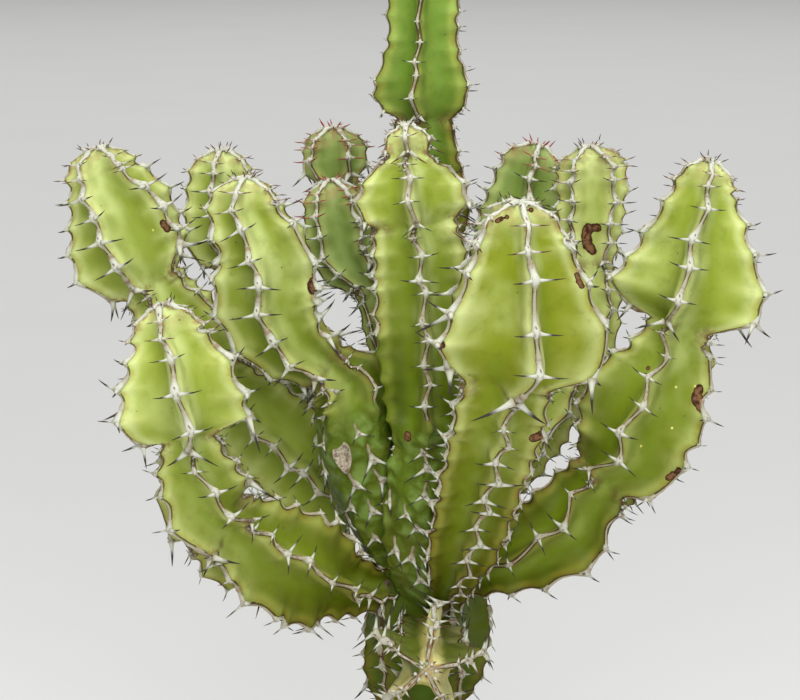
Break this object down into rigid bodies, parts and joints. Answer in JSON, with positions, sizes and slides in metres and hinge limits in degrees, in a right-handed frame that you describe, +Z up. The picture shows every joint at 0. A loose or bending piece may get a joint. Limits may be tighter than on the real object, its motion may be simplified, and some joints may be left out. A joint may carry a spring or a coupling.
{
  "type": "potted candelabra spurge",
  "caption": "Branching succulent with jointed five-ribbed stems, pale horny margins and paired spines, planted in a plain round clay pot of soil.",
  "frame": {"origin": "centre of the pot's flat foot, on the surface it stands on", "axes": "+Z up along the trunk, +X to the right and -Y towards the viewer of the picture"},
  "size_m": [0.3567, 0.2637, 0.6927],
  "materials": {
    "flesh": "waxy, satin",
    "young_flesh": "waxy with a faint bloom, satin",
    "horn": "dry and dull",
    "soil": "rough, crumbly",
    "clay": "unglazed, matt"
  },
  "bodies": {
    "root": {"pot": "clay", "soil": "soil", "main_stem": "flesh", "main_horn": "horn", "back_centre_horn": "horn", "back_centre_stem": "young_flesh", "back_left_horn": "horn", "back_left_stem": "flesh", "back_right_horn": "horn", "back_right_stem": "young_flesh", "centre_horn": "horn", "centre_stem": "flesh", "front_right_horn": "horn", "front_right_stem": "flesh", "inner_left_horn": "horn", "inner_left_stem": "young_flesh", "left_back_horn": "horn", "left_back_stem": "flesh", "left_front_horn": "horn", "left_front_stem": "flesh", "left_middle_horn": "horn", "left_middle_stem": "flesh", "low_front_horn": "horn", "low_front_stem": "flesh", "outer_back_right_horn": "horn", "outer_back_right_stem": "flesh", "right_horn": "horn", "right_stem": "flesh"}
  },
  "joints": []
}
